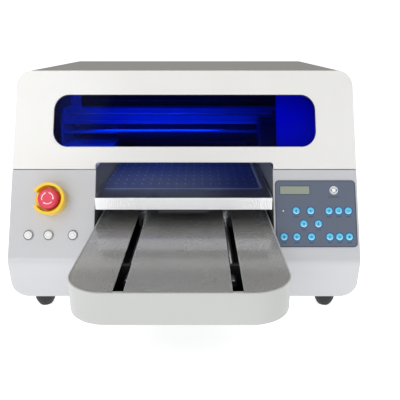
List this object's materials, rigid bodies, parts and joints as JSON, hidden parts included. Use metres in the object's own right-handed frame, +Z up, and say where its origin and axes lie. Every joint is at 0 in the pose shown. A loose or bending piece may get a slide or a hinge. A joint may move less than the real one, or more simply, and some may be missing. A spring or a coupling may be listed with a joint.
{
  "type": "flatbed uv printer",
  "caption": "Desktop flatbed UV printer: slanted hood with blue window, lifting print table on a long tray, emergency stop and membrane key panel.",
  "frame": {"origin": "bottom centre of the whole machine, on the surface it stands on", "axes": "+X to the operator's right, +Y to the rear of the machine, +Z up"},
  "size_m": [0.65, 0.82, 0.43],
  "materials": {
    "base_sheet": "powder coat",
    "rubber": "matt",
    "housing_grey": "fine orange-peel powder coat",
    "channel_grey": "dark satin powder coat",
    "frame_black": "matt black paint",
    "tray_hammer": "hammertone",
    "skirt_grey": "hammertone",
    "chrome": "polished",
    "steel": "turned",
    "motor_black": "satin",
    "beam_silver": "anodised",
    "belt_rubber": "matt",
    "cover_metal": "satin",
    "dark_plastic": "fine grain",
    "tank_plastic": "translucent white",
    "board_green": "circuit board",
    "head_metal": "fine",
    "guard_yellow": "moulded",
    "stop_red": "moulded",
    "stem_black": "moulded",
    "button_silver": "satin",
    "panel_blue": "membrane film",
    "lcd_green": "display",
    "key_cyan": "embossed film",
    "bed_blue": "anodised, printed grid",
    "hood_white": "smooth gloss coat",
    "hood_taupe": "satin",
    "window_blue": "tinted clear"
  },
  "bodies": {
    "chassis": {"base_chassis": "base_sheet", "rubber_feet": "rubber", "left_housing": "housing_grey", "right_housing": "housing_grey", "channel_walls": "channel_grey", "tray_plate": "tray_hammer", "tray_skirt": "skirt_grey", "tray_frame": "frame_black", "y_shafts": "chrome", "y_motor": "motor_black", "x_beam": "beam_silver", "x_rail": "chrome", "x_motor": "motor_black", "x_belt": "belt_rubber", "park_cover": "cover_metal", "cap_station": "dark_plastic", "ink_tanks": "tank_plastic", "power_supply": "steel", "main_board": "board_green", "estop_guard": "guard_yellow", "button_bezels": "button_silver", "control_panel": "panel_blue", "lcd_window": "lcd_green", "power_inlet": "dark_plastic", "fan_frame": "dark_plastic"},
    "carriage": {"table_carriage": "beam_silver"},
    "lift_screw_left": {"lift_screw_left": "steel"},
    "lift_screw_right": {"lift_screw_right": "steel"},
    "table": {"table_frame": "beam_silver", "table_top": "bed_blue", "suction_fan": "dark_plastic"},
    "y_screw": {"y_screw": "steel"},
    "head": {"head_carriage": "dark_plastic", "print_head": "head_metal", "uv_lamp": "head_metal"},
    "x_drive_pulley": {"x_drive_pulley": "beam_silver"},
    "x_idler_pulley": {"x_idler_pulley": "beam_silver"},
    "hood": {"hood_front": "hood_white", "hood_shell": "hood_taupe", "hood_window": "window_blue"},
    "estop_stem": {"estop_stem": "stem_black"},
    "estop_head": {"estop_head": "stop_red"},
    "fan_rotor": {"fan_rotor": "dark_plastic"},
    "rocker_switch": {"rocker_switch": "stem_black"},
    "push_button_1": {"push_button_1": "button_silver"},
    "push_button_2": {"push_button_2": "button_silver"},
    "push_button_3": {"push_button_3": "button_silver"},
    "key_01": {"key_01": "key_cyan"},
    "key_02": {"key_02": "key_cyan"},
    "key_03": {"key_03": "key_cyan"},
    "key_04": {"key_04": "key_cyan"},
    "key_05": {"key_05": "key_cyan"},
    "key_06": {"key_06": "key_cyan"},
    "key_07": {"key_07": "key_cyan"},
    "key_08": {"key_08": "key_cyan"},
    "key_09": {"key_09": "key_cyan"},
    "key_10": {"key_10": "key_cyan"},
    "key_11": {"key_11": "key_cyan"},
    "key_12": {"key_12": "key_cyan"},
    "key_13": {"key_13": "key_cyan"}
  },
  "joints": [
    {"name": "table_travel", "type": "slide", "parent": "chassis", "child": "carriage", "axis": [0, 1, 0], "range_m": [-0.23, 0.13]},
    {"name": "table_lift", "type": "slide", "parent": "carriage", "child": "table", "axis": [0, 0, 1], "range_m": [0, 0.038]},
    {"name": "lift_screw_left_spin", "type": "hinge", "parent": "carriage", "child": "lift_screw_left", "pos_m": [-0.0815, 0, 0.16], "axis": [0, 0, 1], "continuous": true},
    {"name": "lift_screw_right_spin", "type": "hinge", "parent": "carriage", "child": "lift_screw_right", "pos_m": [0.0815, 0, 0.16], "axis": [0, 0, 1], "continuous": true},
    {"name": "y_screw_spin", "type": "hinge", "parent": "chassis", "child": "y_screw", "pos_m": [0, -0.05, 0.14], "axis": [0, 1, 0], "continuous": true},
    {"name": "head_travel", "type": "slide", "parent": "chassis", "child": "head", "axis": [1, 0, 0], "range_m": [-0.436, 0]},
    {"name": "x_drive_spin", "type": "hinge", "parent": "chassis", "child": "x_drive_pulley", "pos_m": [0.284, 0.162, 0.36], "axis": [0, 1, 0], "continuous": true},
    {"name": "x_idler_spin", "type": "hinge", "parent": "chassis", "child": "x_idler_pulley", "pos_m": [-0.262, 0.162, 0.36], "axis": [0, 1, 0], "continuous": true},
    {"name": "hood_hinge", "type": "hinge", "parent": "chassis", "child": "hood", "pos_m": [0, 0.3995, 0.422], "axis": [1, 0, 0], "range_deg": [-60, 0]},
    {"name": "estop_press", "type": "slide", "parent": "chassis", "child": "estop_stem", "axis": [0, 0.8944, -0.4472], "range_m": [0, 0.005], "stiffness_N_per_m": 1200},
    {"name": "estop_twist", "type": "hinge", "parent": "estop_stem", "child": "estop_head", "pos_m": [-0.248, -0.12475, 0.2025], "axis": [0, -0.8944, 0.4472], "range_deg": [0, 45], "stiffness_Nm_per_rad": 0.05},
    {"name": "fan_spin", "type": "hinge", "parent": "chassis", "child": "fan_rotor", "pos_m": [-0.238, 0.395, 0.15], "axis": [0, 1, 0], "continuous": true},
    {"name": "rocker_tilt", "type": "hinge", "parent": "chassis", "child": "rocker_switch", "pos_m": [0.23, 0.4035, 0.113], "axis": [-1, 0, 0], "range_deg": [0, 16]},
    {"name": "push_button_1_press", "type": "slide", "parent": "chassis", "child": "push_button_1", "axis": [0, 0.8944, -0.4472], "range_m": [0, 0.0025], "stiffness_N_per_m": 400},
    {"name": "push_button_2_press", "type": "slide", "parent": "chassis", "child": "push_button_2", "axis": [0, 0.8944, -0.4472], "range_m": [0, 0.0025], "stiffness_N_per_m": 400},
    {"name": "push_button_3_press", "type": "slide", "parent": "chassis", "child": "push_button_3", "axis": [0, 0.8944, -0.4472], "range_m": [0, 0.0025], "stiffness_N_per_m": 400},
    {"name": "key_01_press", "type": "slide", "parent": "chassis", "child": "key_01", "axis": [0, 0.8944, -0.4472], "range_m": [0, 0.0005], "stiffness_N_per_m": 800},
    {"name": "key_02_press", "type": "slide", "parent": "chassis", "child": "key_02", "axis": [0, 0.8944, -0.4472], "range_m": [0, 0.0005], "stiffness_N_per_m": 800},
    {"name": "key_03_press", "type": "slide", "parent": "chassis", "child": "key_03", "axis": [0, 0.8944, -0.4472], "range_m": [0, 0.0005], "stiffness_N_per_m": 800},
    {"name": "key_04_press", "type": "slide", "parent": "chassis", "child": "key_04", "axis": [0, 0.8944, -0.4472], "range_m": [0, 0.0005], "stiffness_N_per_m": 800},
    {"name": "key_05_press", "type": "slide", "parent": "chassis", "child": "key_05", "axis": [0, 0.8944, -0.4472], "range_m": [0, 0.0005], "stiffness_N_per_m": 800},
    {"name": "key_06_press", "type": "slide", "parent": "chassis", "child": "key_06", "axis": [0, 0.8944, -0.4472], "range_m": [0, 0.0005], "stiffness_N_per_m": 800},
    {"name": "key_07_press", "type": "slide", "parent": "chassis", "child": "key_07", "axis": [0, 0.8944, -0.4472], "range_m": [0, 0.0005], "stiffness_N_per_m": 800},
    {"name": "key_08_press", "type": "slide", "parent": "chassis", "child": "key_08", "axis": [0, 0.8944, -0.4472], "range_m": [0, 0.0005], "stiffness_N_per_m": 800},
    {"name": "key_09_press", "type": "slide", "parent": "chassis", "child": "key_09", "axis": [0, 0.8944, -0.4472], "range_m": [0, 0.0005], "stiffness_N_per_m": 800},
    {"name": "key_10_press", "type": "slide", "parent": "chassis", "child": "key_10", "axis": [0, 0.8944, -0.4472], "range_m": [0, 0.0005], "stiffness_N_per_m": 800},
    {"name": "key_11_press", "type": "slide", "parent": "chassis", "child": "key_11", "axis": [0, 0.8944, -0.4472], "range_m": [0, 0.0005], "stiffness_N_per_m": 800},
    {"name": "key_12_press", "type": "slide", "parent": "chassis", "child": "key_12", "axis": [0, 0.8944, -0.4472], "range_m": [0, 0.0005], "stiffness_N_per_m": 800},
    {"name": "key_13_press", "type": "slide", "parent": "chassis", "child": "key_13", "axis": [0, 0.8944, -0.4472], "range_m": [0, 0.0005], "stiffness_N_per_m": 800}
  ],
  "couplings": [
    {"joint": "y_screw_spin", "follows": "table_travel", "rad_per_m": 628.32},
    {"joint": "lift_screw_left_spin", "follows": "table_lift", "rad_per_m": 1570.8},
    {"joint": "lift_screw_right_spin", "follows": "table_lift", "rad_per_m": 1570.8},
    {"joint": "x_drive_spin", "follows": "head_travel", "rad_per_m": -111.11},
    {"joint": "x_idler_spin", "follows": "head_travel", "rad_per_m": -111.11}
  ]
}
